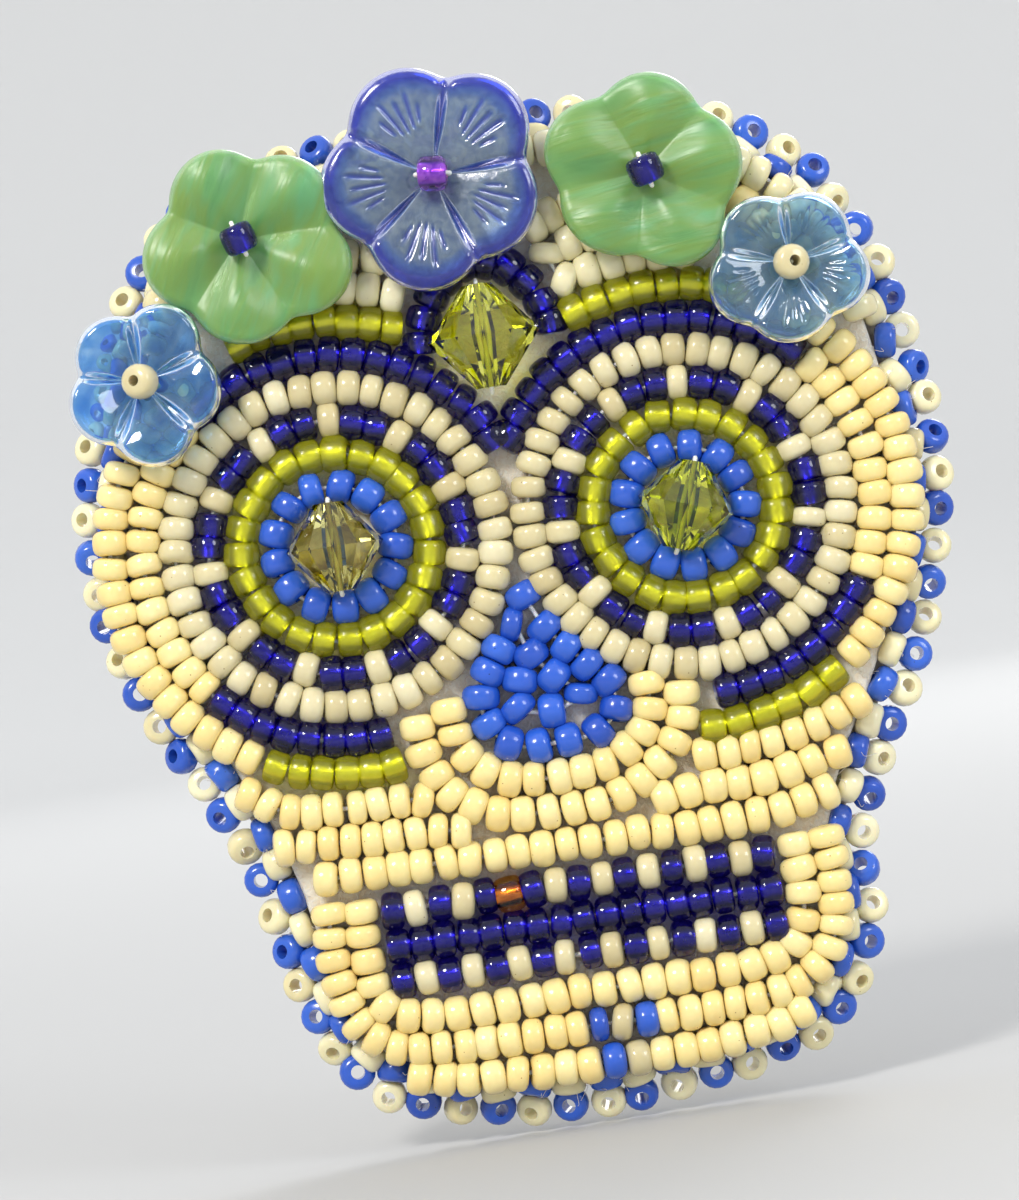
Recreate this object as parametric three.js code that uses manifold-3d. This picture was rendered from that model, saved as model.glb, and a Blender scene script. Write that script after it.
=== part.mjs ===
// A sugar-skull brooch in bead embroidery: strung rows of seed beads on felt, with a bead edging,
// crystal bicones, pressed-glass flowers and a bar pin with a safety catch on its back.
//
// Millimetres. The face looks along -Y, the crown is +Z and +X is to the viewer's right.
// The origin is on the rear face of the suede backing, behind the bridge of the nose.

import * as THREE from 'three';
import { mergeVertices } from 'three/addons/utils/BufferGeometryUtils.js';
import Module from 'manifold-3d';

const wasm = await Module();
wasm.setup();

// ---------------------------------------------------------------- driving dimensions

// Layers, from the rear face at y = 0 towards the front, which is -Y.
const LAYER_GAP = 0.05;
const BACKING_THICKNESS = 1.0;
const STIFFENER_THICKNESS = 0.8;
const FELT_THICKNESS = 1.15;
const STIFFENER_BACK = BACKING_THICKNESS + LAYER_GAP;
const FELT_BACK = STIFFENER_BACK + STIFFENER_THICKNESS + LAYER_GAP;
const FELT_FRONT = FELT_BACK + FELT_THICKNESS;

// Seed beads. A strung row is one body: each bead is widest at its middle and thin at the thread.
const BEAD_RADIUS = 0.92;
const BEAD_LENGTH = 1.55;
const THREAD_RADIUS = 0.32;
const ROW_Y = -(FELT_FRONT + LAYER_GAP + BEAD_RADIUS);

// Edging beads stand round the rim, in an outer and an inner row.
const EDGE_PAIRS = 82;
const EDGE_OUTER_Y = -1.7;
const EDGE_INNER_Y = -2.4;
const EDGE_INNER_INSET = 1.6;
const EDGE_RADIUS = 0.84;
const EDGE_DEPTH = 0.66;

// How far the edges of the layers, and the crown row, stay inside the rim.
const BACKING_INSET = 1.5;
const STIFFENER_INSET = 2.6;
const FELT_INSET = 2.6;
const CROWN_INSET = 2.75;
const ROW_STEP = 2.1;
const CROWN_LEFT_END = 18.8;
const CROWN_RIGHT_END = 14.5;
const SHORT_CROWN_ROW_LEFT = 15.6;
const CROWN_POINTS = 200;
const LAYER_OUTLINE_POINTS = 56;

// Eyes: rings of beads about a bicone. Ring 0 is the blue one next to the crystal.
const LEFT_EYE = { x: -11.05, z: 5.75, firstRing: 3.93, ringStep: 2.13 };
const RIGHT_EYE = { x: 11.6, z: 4.95, firstRing: 3.83, ringStep: 2.1 };
const EYE_RING_BEADS = [13, 23, 33, 41];
const BROW_STEPS = 12;
const EYE_CRYSTAL = { radius: 3.0, length: 6.0 };
const RIGHT_CRYSTAL_TILT = -20;
const FOREHEAD_CRYSTAL = { radius: 3.45, length: 7.0, x: 0.45, z: 17.6 };
const CRYSTAL_END_RADIUS = 0.95;
const CRYSTAL_BORE_RADIUS = 0.5;
const CRYSTAL_SIDES = 8;

// Mouth: three straight rows of 17.
const MOUTH = { left: -11.75, right: 14.0, top: -18.0, pitch: 2.3, beads: 17 };

// Flowers: a shallow five-petalled cup with a centre hole, held on by a stop bead.
const FLOWER_BACK_Y = ROW_Y - 1.2;
const FLOWER_HOLE_RADIUS = 0.6;
const PETAL_COUNT = 5;
const PETAL_STEPS = 5;
const PETAL_NOTCH = 0.16;
const FLOWER_CENTRE_DEPTH = 1.7;
const STOP_BEAD = { radius: 1.08, length: 1.6, hole: 0.4, sides: 8 };

// Bar pin. The bar lies along X, and the stem and the catch share one axis above it.
const PIN_Z = 10.0;
const BAR = { left: -15.5, right: 15.5, width: 5.0, thickness: 0.8, holeRadius: 0.9 };
const BAR_BACK = BAR.thickness + LAYER_GAP;
const STEM_Y = 5.5;
const STEM = { hingeX: -13.2, tipX: 14.6, radius: 0.45, pointLength: 3.0 };
const STEM_EYE = { radius: 1.25, bore: 0.56, width: 1.6 };
const EAR = { thickness: 0.6, gap: 2.0, radius: 1.45 };
const RIVET = { radius: 0.45, headRadius: 0.8, headLength: 0.4 };
const CATCH_X = 10.6;
const CATCH = { inner: 1.55, outer: 2.15, width: 1.8, opening: 84, postWidth: 1.6 };
const ROLLER = { inner: 0.85, outer: 1.4, rim: 2.0, rimLength: 0.45, opening: 100, gap: 0.1 };
const ROLLER_TAB = { reach: 3.4, thickness: 0.5, angle: -62 };
const ROUND_SIDES = 16;
const ARC_STEPS = 10;

// ---------------------------------------------------------------- materials

function material(colour, roughness, metalness = 0) {
  return new THREE.MeshStandardMaterial({ color: colour, roughness, metalness });
}

const MATERIALS = {
  cream: material(0xe9cf86, 0.3),
  ivory: material(0xdbd0a4, 0.3),
  cobalt: material(0x16168c, 0.15),
  lime: material(0xb3a800, 0.25),
  blue: material(0x3c69cf, 0.3),
  greenGlass: material(0x7cb364, 0.4),
  sapphireGlass: material(0x6679c4, 0.15),
  skyGlass: material(0x7eb0e0, 0.1),
  limeCrystal: material(0xb9b400, 0.05),
  oliveCrystal: material(0x7d6a1e, 0.05),
  iris: material(0x6a3fa8, 0.2),
  felt: material(0xe9e4da, 0.95),
  card: material(0xd8d3c6, 0.9),
  suede: material(0xcfc5b2, 0.9),
  nickel: material(0xb9bcc0, 0.3, 0.9),
};

// ---------------------------------------------------------------- curves on the face

/** An arc in the face plane at depth y; angles are degrees, anticlockwise from +X. */
class FaceArc extends THREE.Curve {
  constructor(centre, radius, fromDegrees, toDegrees, y = ROW_Y) {
    super();
    Object.assign(this, { centre, radius, fromDegrees, toDegrees, y });
  }

  getPoint(t, target = new THREE.Vector3()) {
    const degrees = THREE.MathUtils.lerp(this.fromDegrees, this.toDegrees, t);
    const angle = THREE.MathUtils.degToRad(degrees);
    const x = this.centre.x + this.radius * Math.cos(angle);
    const z = this.centre.z + this.radius * Math.sin(angle);
    return target.set(x, this.y, z);
  }
}

/** A smooth curve through [x, z] points of the face plane. */
function facePath(points, { y = ROW_Y, closed = false } = {}) {
  const corners = points.map(([x, z]) => new THREE.Vector3(x, y, z));
  return new THREE.CatmullRomCurve3(corners, closed, 'centripetal');
}

/** A row's curve that puts the middle of each bead on its own [x, z] point. */
class BeadPath extends THREE.Curve {
  constructor(points) {
    super();
    this.path = facePath(points);
    this.count = points.length;
  }

  getPoint(t, target) {
    const along = (t * this.count - 0.5) / (this.count - 1);
    return this.path.getPoint(THREE.MathUtils.clamp(along, 0, 1), target);
  }

  getPointAt(t, target = new THREE.Vector3()) {
    const stub = 0.5 / this.count;
    const inner = THREE.MathUtils.clamp(t, stub, 1 - stub);
    const overhang = (t - inner) / stub;
    return this.getPoint(t, target).addScaledVector(this.getTangentAt(inner), 0.5 * overhang * BEAD_LENGTH);
  }

  getTangentAt(t) {
    const along = (t * this.count - 0.5) / (this.count - 1);
    return this.path.getTangent(THREE.MathUtils.clamp(along, 0, 1));
  }
}

/** The closed curve that keeps `inset` inside a closed curve, at depth y. */
function insetLoop(loop, inset, y, steps) {
  const points = [];
  for (let i = 0; i < steps; i += 1) {
    const point = loop.getPointAt(i / steps);
    const tangent = loop.getTangentAt(i / steps);
    points.push([point.x - inset * tangent.z, point.z + inset * tangent.x]);
  }
  return facePath(points, { y, closed: true });
}

function eyeRing(eye, ring) {
  return eye.firstRing + ring * eye.ringStep;
}

// The rim runs through the centres of the outer edging beads, anticlockwise from the chin.
const RIM = facePath([
  [-0.4, -32.7], [10.2, -31.7], [15.4, -30.2], [18.4, -27.0], [19.9, -22.8], [20.0, -18.6],
  [21.2, -14.6], [24.6, -8.4], [27.3, -1.6], [28.6, 4.8], [28.1, 12.0], [26.6, 19.0],
  [23.0, 25.8], [17.6, 29.8], [9.0, 31.6], [-1.0, 31.9], [-11.0, 31.3], [-18.2, 28.6],
  [-22.2, 24.0], [-25.2, 17.6], [-27.1, 9.6], [-26.9, 3.2], [-25.2, -2.6], [-22.0, -8.8],
  [-19.8, -14.0], [-18.6, -19.6], [-17.4, -24.4], [-14.8, -29.0], [-9.4, -31.6],
], { y: EDGE_OUTER_Y, closed: true });

// ---------------------------------------------------------------- solids

/**
 * One strung row along a curve: four-sided rings that swell at each bead and close on the thread
 * between two beads. `depth` is the half height of a bead, away from the face.
 */
function strungRow(curve, count, { closed = false, radius = BEAD_RADIUS, depth = radius } = {}) {
  const sides = 4;
  const rings = closed ? 2 * count : 2 * count + 1;
  const positions = [];
  for (let ring = 0; ring < rings; ring += 1) {
    const along = ring / (2 * count);
    const centre = curve.getPointAt(along);
    const tangent = curve.getTangentAt(along);
    const isBead = ring % 2 === 1;
    const across = isBead ? radius : THREAD_RADIUS;
    const up = isBead ? depth : THREAD_RADIUS;
    const side = new THREE.Vector3(tangent.z, 0, -tangent.x).multiplyScalar(across);
    positions.push(centre.x + side.x, centre.y, centre.z + side.z);
    positions.push(centre.x, centre.y - up, centre.z);
    positions.push(centre.x - side.x, centre.y, centre.z - side.z);
    positions.push(centre.x, centre.y + up, centre.z);
  }
  const indices = [];
  const bands = closed ? rings : rings - 1;
  for (let band = 0; band < bands; band += 1) {
    const start = band * sides;
    const next = ((band + 1) % rings) * sides;
    for (let k = 0; k < sides; k += 1) {
      const after = (k + 1) % sides;
      indices.push(start + k, next + k, start + after);
      indices.push(start + after, next + k, next + after);
    }
  }
  if (!closed) {
    const last = (rings - 1) * sides;
    indices.push(0, 1, 2, 0, 2, 3);
    indices.push(last, last + 2, last + 1, last, last + 3, last + 2);
  }
  const geometry = new THREE.BufferGeometry();
  geometry.setAttribute('position', new THREE.Float32BufferAttribute(positions, 3));
  geometry.setIndex(indices);
  return geometry;
}

/** A flat layer of the rim's shape, `inset` inside it, from depth `back` forwards. */
function layer(inset, back, thickness) {
  const outline = insetLoop(RIM, inset, 0, LAYER_OUTLINE_POINTS).getSpacedPoints(LAYER_OUTLINE_POINTS);
  outline.pop();
  const shape = new THREE.Shape(outline.map((point) => new THREE.Vector2(point.x, point.z)));
  const geometry = new THREE.ExtrudeGeometry(shape, { depth: thickness, bevelEnabled: false });
  return geometry.rotateX(Math.PI / 2).translate(0, -back, 0);
}

/** A turned solid about Y from a closed profile of [radius, y] points. */
function turned(profile, sides) {
  const points = profile.map(([radius, y]) => new THREE.Vector2(radius, y));
  return new THREE.LatheGeometry(points, sides);
}

/** A bicone crystal with its bore along Z. */
function crystal({ radius, length }) {
  const half = length / 2;
  const profile = [
    [CRYSTAL_BORE_RADIUS, -half], [CRYSTAL_END_RADIUS, -half], [radius, 0],
    [CRYSTAL_END_RADIUS, half], [CRYSTAL_BORE_RADIUS, half], [CRYSTAL_BORE_RADIUS, -half],
  ];
  return turned(profile, CRYSTAL_SIDES).rotateX(Math.PI / 2);
}

/** A five-petalled flower about Y: a cup that opens towards -Y, notched between its petals. */
function flower(radius, notch, petalDegrees) {
  const profile = [
    [FLOWER_HOLE_RADIUS, 0], [FLOWER_HOLE_RADIUS, -FLOWER_CENTRE_DEPTH], [0.6 * radius, -2.3],
    [0.95 * radius, -2.9], [radius, -2.4], [0.8 * radius, -1.1], [0.35 * radius, 0], [FLOWER_HOLE_RADIUS, 0],
  ];
  const geometry = turned(profile, PETAL_COUNT * PETAL_STEPS);
  geometry.rotateY(-THREE.MathUtils.degToRad(petalDegrees - 90));
  const vertices = geometry.attributes.position;
  for (let i = 0; i < vertices.count; i += 1) {
    const x = vertices.getX(i);
    const z = vertices.getZ(i);
    const angle = Math.atan2(z, x) - THREE.MathUtils.degToRad(petalDegrees);
    const valley = Math.abs(Math.sin(0.5 * PETAL_COUNT * angle)) ** 3;
    const reach = Math.hypot(x, z) / radius;
    const scale = 1 - notch * valley * reach;
    vertices.setXYZ(i, x * scale, vertices.getY(i), z * scale);
  }
  return geometry;
}

/** A loose seed bead with its hole along Y. */
function looseBead() {
  const { radius, length, hole, sides } = STOP_BEAD;
  const half = length / 2;
  const shoulder = 0.8 * radius;
  const profile = [
    [hole, -half], [shoulder, -half], [radius, 0], [shoulder, half], [hole, half], [hole, -half],
  ];
  return turned(profile, sides);
}

// ---------------------------------------------------------------- joining and cutting

function toManifold(geometry) {
  const plain = geometry.clone();
  plain.deleteAttribute('normal');
  plain.deleteAttribute('uv');
  const merged = mergeVertices(plain, 1e-4);
  const vertProperties = merged.attributes.position.array;
  const triVerts = new Uint32Array(merged.index.array);
  return new wasm.Manifold(new wasm.Mesh({ numProp: 3, vertProperties, triVerts }));
}

function toGeometry(solid) {
  const mesh = solid.getMesh();
  const geometry = new THREE.BufferGeometry();
  geometry.setAttribute('position', new THREE.BufferAttribute(mesh.vertProperties, 3));
  geometry.setIndex(new THREE.BufferAttribute(mesh.triVerts, 1));
  return geometry;
}

function joined(geometries) {
  return geometries.map(toManifold).reduce((sum, solid) => sum.add(solid));
}

// ---------------------------------------------------------------- bar pin

function roundBar(radius, length) {
  return new THREE.CylinderGeometry(radius, radius, length, ROUND_SIDES);
}

/** The bar with its sewing holes, and two ears that hold the hinge rivet. */
function pinBar() {
  const length = BAR.right - BAR.left;
  const middle = (BAR.right + BAR.left) / 2;
  const plate = new THREE.BoxGeometry(length, BAR.thickness, BAR.width);
  plate.translate(middle, LAYER_GAP + BAR.thickness / 2, PIN_Z);
  const pieces = [plate];
  for (const side of [-1, 1]) {
    const z = PIN_Z + side * (EAR.gap + EAR.thickness) / 2;
    const height = STEM_Y - BAR_BACK + BAR.thickness / 2;
    const web = new THREE.BoxGeometry(2 * EAR.radius, height, EAR.thickness);
    web.translate(STEM.hingeX, STEM_Y - height / 2, z);
    const head = roundBar(EAR.radius, EAR.thickness).rotateX(Math.PI / 2);
    head.translate(STEM.hingeX, STEM_Y, z);
    pieces.push(web, head);
  }
  let bar = joined(pieces);
  const rivetHole = roundBar(RIVET.radius + LAYER_GAP, BAR.width).rotateX(Math.PI / 2);
  bar = bar.subtract(toManifold(rivetHole.translate(STEM.hingeX, STEM_Y, PIN_Z)));
  for (const x of [-7.5, 0, 7.5]) {
    const hole = roundBar(BAR.holeRadius, 3 * BAR.thickness).translate(x, BAR.thickness / 2, PIN_Z);
    bar = bar.subtract(toManifold(hole));
  }
  return toGeometry(bar);
}

/** The rivet through both ears, headed at each end, along Z. */
function hingeRivet() {
  const span = EAR.gap + 2 * EAR.thickness + 2 * LAYER_GAP;
  const half = span / 2;
  const end = half + RIVET.headLength;
  const profile = [
    [0, -end], [RIVET.headRadius, -end], [RIVET.headRadius, -half], [RIVET.radius, -half],
    [RIVET.radius, half], [RIVET.headRadius, half], [RIVET.headRadius, end], [0, end],
  ];
  return turned(profile, ROUND_SIDES).rotateX(Math.PI / 2).translate(STEM.hingeX, STEM_Y, PIN_Z);
}

/** The pointed stem along X, with the eye that turns on the rivet. */
function pinStem() {
  const length = STEM.tipX - STEM.hingeX;
  const profile = [[0, 0], [STEM.radius, 0], [STEM.radius, length - STEM.pointLength], [0, length]];
  const rod = turned(profile, 10).rotateZ(-Math.PI / 2);
  const eye = roundBar(STEM_EYE.radius, STEM_EYE.width).rotateX(Math.PI / 2);
  const bore = roundBar(STEM_EYE.bore, 2 * STEM_EYE.width).rotateX(Math.PI / 2);
  const stem = joined([rod, eye]).subtract(toManifold(bore));
  return toGeometry(stem).translate(STEM.hingeX, STEM_Y, PIN_Z);
}

/** A C-shaped ring about X, `openingDegrees` wide at +Y, from x = 0 to `length`. */
function openRing(inner, outer, openingDegrees, length) {
  const start = THREE.MathUtils.degToRad(openingDegrees / 2);
  const shape = new THREE.Shape();
  shape.absarc(0, 0, outer, start, 2 * Math.PI - start, false);
  shape.absarc(0, 0, inner, 2 * Math.PI - start, start, true);
  const options = { depth: length, bevelEnabled: false, curveSegments: ARC_STEPS };
  const ring = new THREE.ExtrudeGeometry(shape, options);
  return ring.rotateY(Math.PI / 2).rotateX(Math.PI / 2);
}

/** The catch: an open ring on a post that is riveted to the bar. */
function catchHousing() {
  const ring = openRing(CATCH.inner, CATCH.outer, CATCH.opening, CATCH.width);
  const top = -(CATCH.inner + CATCH.outer) / 2;
  const bottom = BAR_BACK + LAYER_GAP - STEM_Y;
  const post = new THREE.BoxGeometry(CATCH.width, top - bottom, CATCH.postWidth);
  post.translate(CATCH.width / 2, (top + bottom) / 2, 0);
  return toGeometry(joined([ring, post])).translate(CATCH_X - CATCH.width / 2, STEM_Y, PIN_Z);
}

/** The safety roller: an open sleeve with a rim each side of the catch, and a thumb tab. */
function catchRoller() {
  const sleeveLength = CATCH.width + 2 * ROLLER.gap;
  const overall = sleeveLength + 2 * ROLLER.rimLength;
  const sleeve = openRing(ROLLER.inner, ROLLER.outer, ROLLER.opening, overall);
  const rims = [0, sleeveLength + ROLLER.rimLength].map((x) => (
    openRing(ROLLER.inner, ROLLER.rim, ROLLER.opening, ROLLER.rimLength).translate(x, 0, 0)
  ));
  const tabLength = ROLLER_TAB.reach - ROLLER.outer;
  const tab = new THREE.BoxGeometry(ROLLER.rimLength, tabLength, ROLLER_TAB.thickness);
  tab.translate(overall - ROLLER.rimLength / 2, ROLLER.outer + tabLength / 2, 0);
  tab.rotateX(THREE.MathUtils.degToRad(ROLLER_TAB.angle));
  const roller = joined([sleeve, ...rims, tab]);
  return toGeometry(roller).translate(CATCH_X - overall / 2, STEM_Y, PIN_Z);
}

// ---------------------------------------------------------------- assembly

const brooch = new THREE.Group();

function add(name, geometry, meshMaterial) {
  const mesh = new THREE.Mesh(geometry, meshMaterial);
  mesh.name = name;
  brooch.add(mesh);
  return mesh;
}

function addRow(name, curve, count, meshMaterial, options) {
  return add(name, strungRow(curve, count, options), meshMaterial);
}

function addEyeArc(name, eye, ring, fromDegrees, toDegrees, count, meshMaterial) {
  const curve = new FaceArc(eye, eyeRing(eye, ring), fromDegrees, toDegrees);
  return addRow(name, curve, count, meshMaterial);
}

function addLayers() {
  add('suede_backing', layer(BACKING_INSET, 0, BACKING_THICKNESS), MATERIALS.suede);
  add('stiffener', layer(STIFFENER_INSET, STIFFENER_BACK, STIFFENER_THICKNESS), MATERIALS.card);
  add('felt_foundation', layer(FELT_INSET, FELT_BACK, FELT_THICKNESS), MATERIALS.felt);
}

function addEdging() {
  const options = { closed: true, radius: EDGE_RADIUS, depth: EDGE_DEPTH };
  const inner = insetLoop(RIM, EDGE_INNER_INSET, EDGE_INNER_Y, EDGE_PAIRS);
  addRow('edging_outer_row', RIM, EDGE_PAIRS, MATERIALS.ivory, options);
  addRow('edging_inner_row', inner, EDGE_PAIRS, MATERIALS.blue, options);
}

/** The crystal and its four closed rings. */
function addEye(side, eye, crystalMaterial, tiltDegrees) {
  const gem = add(`${side}_eye_crystal`, crystal(EYE_CRYSTAL), crystalMaterial);
  gem.position.set(eye.x, -(FELT_FRONT + LAYER_GAP + EYE_CRYSTAL.radius), eye.z);
  gem.rotation.y = THREE.MathUtils.degToRad(-tiltDegrees);
  const rings = [
    ['blue_ring', MATERIALS.blue], ['lime_ring', MATERIALS.lime],
    ['checker_ring', MATERIALS.cobalt], ['ivory_ring', MATERIALS.ivory],
  ];
  rings.forEach(([name, ringMaterial], ring) => {
    const curve = new FaceArc(eye, eyeRing(eye, ring), 90, -270);
    addRow(`${side}_eye_${name}`, curve, EYE_RING_BEADS[ring], ringMaterial, { closed: true });
  });
}

/** One cobalt row over both eyes, which dips to a point between them. */
function addBrow() {
  const left = new FaceArc(LEFT_EYE, eyeRing(LEFT_EYE, 4), 130, 23);
  const right = new FaceArc(RIGHT_EYE, eyeRing(RIGHT_EYE, 4), 150, 44);
  const points = [...left.getSpacedPoints(BROW_STEPS), ...right.getSpacedPoints(BROW_STEPS)];
  const brow = new THREE.CatmullRomCurve3(points, false, 'centripetal');
  addRow('brow_cobalt_row', brow, 30, MATERIALS.cobalt);
}

/** [x, z] places of the beads along part of an eye's ring. */
function arcPlaces(eye, ring, fromDegrees, toDegrees, count) {
  const arc = new FaceArc(eye, eyeRing(eye, ring), fromDegrees, toDegrees);
  return Array.from({ length: count }, (_, i) => {
    const { x, z } = arc.getPointAt((i + 0.5) / count);
    return [x, z];
  });
}

/** Rows outside the eye rings. The outer row is cream at the temple and cobalt under the eye. */
function addRowsRoundEyes() {
  addEyeArc('left_eye_outer_row', LEFT_EYE, 4, 131, 278, 21, MATERIALS.cream);
  addEyeArc('left_brow_lime_row', LEFT_EYE, 5, 64, 110, 8, MATERIALS.lime);
  addEyeArc('left_temple_outer_row', LEFT_EYE, 5, 124, 242, 19, MATERIALS.cream);
  addEyeArc('left_under_eye_lime_row', LEFT_EYE, 5, 243, 279, 6, MATERIALS.lime);

  addEyeArc('right_eye_outer_row', RIGHT_EYE, 4, 43, -90, 18, MATERIALS.cream);
  addEyeArc('right_brow_lime_row', RIGHT_EYE, 5, 114, 64, 8, MATERIALS.lime);
  addEyeArc('right_temple_outer_row', RIGHT_EYE, 5, 53, -53, 17, MATERIALS.cream);
  addEyeArc('right_under_eye_lime_row', RIGHT_EYE, 5, -54, -95, 6, MATERIALS.lime);
}

function addForehead() {
  const gem = add('forehead_crystal', crystal(FOREHEAD_CRYSTAL), MATERIALS.limeCrystal);
  const { x, z, radius } = FOREHEAD_CRYSTAL;
  gem.position.set(x, -(FELT_FRONT + LAYER_GAP + radius), z);

  const arch = facePath([
    [-3.85, 17.2], [-3.3, 19.0], [-2.0, 21.3], [0.5, 22.7], [2.9, 21.6], [4.3, 19.6], [4.9, 17.2],
  ]);
  addRow('forehead_cobalt_arch', arch, 10, MATERIALS.cobalt);
  addRow('left_forehead_rows', new BeadPath([
    ...arcPlaces(LEFT_EYE, 6, 66, 98, 6), ...arcPlaces(LEFT_EYE, 7, 98, 66, 6),
  ]), 12, MATERIALS.cream);
  addRow('right_forehead_rows', new BeadPath([
    ...arcPlaces(RIGHT_EYE, 6, 79, 112, 6), ...arcPlaces(RIGHT_EYE, 7, 112, 80, 7),
    ...arcPlaces(RIGHT_EYE, 8, 80, 112, 8),
  ]), 21, MATERIALS.cream);

  addCrownRow('crown_row', CROWN_INSET, ({ x, z }) => z > (x < 0 ? CROWN_LEFT_END : CROWN_RIGHT_END));
  const onShortRow = ({ x, z }) => x > SHORT_CROWN_ROW_LEFT && z > CROWN_LEFT_END;
  addCrownRow('right_crown_row', CROWN_INSET + ROW_STEP, onShortRow);
}

/** A cream row that follows the part of the rim where isPart(point) holds, `inset` inside it. */
function addCrownRow(name, inset, isPart) {
  const loop = insetLoop(RIM, inset, ROW_Y, LAYER_OUTLINE_POINTS);
  const points = loop.getSpacedPoints(CROWN_POINTS).filter(isPart);
  const row = new THREE.CatmullRomCurve3(points, false, 'centripetal');
  addRow(name, row, Math.round(row.getLength() / BEAD_LENGTH), MATERIALS.cream);
}

/** A spade of blue beads, one string wound inwards, and the two cream rows that wrap it. */
function addNose() {
  const spiral = new BeadPath([
    [0.4, 0.8], [1.5, -1.4], [2.6, -2.8], [3.8, -4.1], [5.0, -5.4], [5.2, -7.2], [3.9, -8.6],
    [1.9, -8.8], [0.0, -8.9], [-1.9, -8.5], [-3.1, -7.0], [-3.3, -5.2], [-2.6, -3.6], [-1.7, -2.4],
    [-0.6, -0.9], [0.3, -2.9], [1.6, -4.6], [3.1, -6.0], [1.1, -6.8], [-1.0, -6.3], [-0.6, -4.5],
  ]);
  addRow('nose_beads', spiral, spiral.count, MATERIALS.blue);
  const inner = facePath([
    [-5.5, -5.0], [-5.2, -7.8], [-3.4, -10.2], [-0.6, -11.0], [2.8, -10.9], [5.2, -10.3],
    [7.2, -8.2], [7.4, -5.2],
  ]);
  addRow('nose_wrap_inner_row', inner, 13, MATERIALS.cream);
  const outer = facePath([
    [-7.7, -5.8], [-7.4, -8.6], [-5.9, -11.3], [-3.4, -12.8], [0.2, -13.2], [4.2, -13.0],
    [7.0, -11.5], [9.1, -9.2], [9.7, -6.1],
  ]);
  addRow('nose_wrap_outer_row', outer, 16, MATERIALS.cream);
}

function addCheeks() {
  const rows = [
    ['left_cheek_upper_row', [[-19.7, -8.8], [-16.8, -10.6], [-13.4, -11.0], [-8.6, -11.1], [-7.3, -11.5]], 9],
    ['left_cheek_lower_row', [[-18.0, -12.9], [-12.0, -13.2], [-7.2, -13.3], [-5.2, -13.7]], 9],
    ['right_cheek_upper_row', [[9.6, -11.1], [14.0, -11.0], [17.6, -10.3], [21.4, -8.9]], 8],
    ['right_cheek_lower_row', [[6.6, -13.6], [9.0, -13.2], [14.0, -13.1], [19.7, -12.1]], 8],
    ['upper_lip_row', [[-15.7, -15.3], [-6.0, -15.4], [5.0, -15.5], [14.0, -15.4], [18.6, -14.5]], 22],
  ];
  for (const [name, points, count] of rows) {
    addRow(name, facePath(points), count, MATERIALS.cream);
  }
}

function addMouth() {
  const rows = [
    ['upper_teeth_row', MATERIALS.ivory], ['mouth_middle_row', MATERIALS.cobalt],
    ['lower_teeth_row', MATERIALS.ivory],
  ];
  rows.forEach(([name, rowMaterial], i) => {
    const z = MOUTH.top - i * MOUTH.pitch;
    addRow(name, facePath([[MOUTH.left, z], [MOUTH.right, z]]), MOUTH.beads, rowMaterial);
  });
}

/** U-shaped rows that wrap the mouth, and the last row along the chin. */
function addJaw() {
  const inner = facePath([
    [-12.95, -16.9], [-13.1, -21.4], [-12.4, -24.0], [-10.2, -24.95], [1.0, -25.0], [11.6, -24.9],
    [14.3, -24.0], [15.3, -21.4], [15.2, -16.9],
  ]);
  addRow('jaw_inner_row', inner, 26, MATERIALS.cream);
  const outer = facePath([
    [-15.1, -16.9], [-15.2, -21.4], [-14.4, -24.6], [-12.2, -26.7], [-9.0, -27.2], [1.0, -27.3],
    [11.4, -27.15], [14.8, -26.2], [16.9, -23.9], [17.4, -20.4], [17.3, -16.7],
  ]);
  addRow('jaw_outer_row', outer, 33, MATERIALS.cream);
  const chin = facePath([
    [-11.6, -28.7], [-8.0, -29.4], [-2.0, -29.7], [5.0, -29.7], [10.2, -29.4], [14.8, -28.2],
  ]);
  addRow('chin_row', chin, 17, MATERIALS.cream);
}

/** Five flowers along the crown. Each has a stop bead, on its side (`lies`) or on end. */
function addFlowers() {
  const { skyGlass: sky, greenGlass: green, sapphireGlass: sapphire, ivory, cobalt, iris } = MATERIALS;
  const flowers = [
    { name: 'left_sky', x: -21.6, z: 18.0, radius: 5.15, turn: 57, glass: sky, stop: ivory },
    { name: 'left_green', x: -14.0, z: 26.0, radius: 6.6, turn: 41, glass: green, stop: cobalt, lies: true },
    {
      name: 'centre_sapphire', x: -1.2, z: 28.2, radius: 7.15, turn: 38, glass: sapphire, stop: iris,
      lies: true,
    },
    { name: 'right_green', x: 12.2, z: 26.4, radius: 6.4, turn: 4, glass: green, stop: cobalt, lies: true },
    { name: 'right_sky', x: 20.5, z: 19.2, radius: 5.1, turn: 51, glass: sky, stop: ivory },
  ];
  for (const { name, x, z, radius, turn, glass, stop, lies = false } of flowers) {
    const blossom = add(`${name}_flower`, flower(radius, PETAL_NOTCH, turn), glass);
    blossom.position.set(x, FLOWER_BACK_Y, z);
    const bead = add(`${name}_stop_bead`, looseBead(), stop);
    const reach = lies ? STOP_BEAD.radius : STOP_BEAD.length / 2;
    bead.position.set(x, FLOWER_BACK_Y - FLOWER_CENTRE_DEPTH - 2 * LAYER_GAP - reach, z);
    bead.rotation.z = THREE.MathUtils.degToRad(lies ? 90 : 0);
  }
}

function addBarPin() {
  add('pin_bar', pinBar(), MATERIALS.nickel);
  add('hinge_rivet', hingeRivet(), MATERIALS.nickel);
  add('pin_stem', pinStem(), MATERIALS.nickel);
  add('catch_housing', catchHousing(), MATERIALS.nickel);
  add('catch_roller', catchRoller(), MATERIALS.nickel);
}

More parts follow.
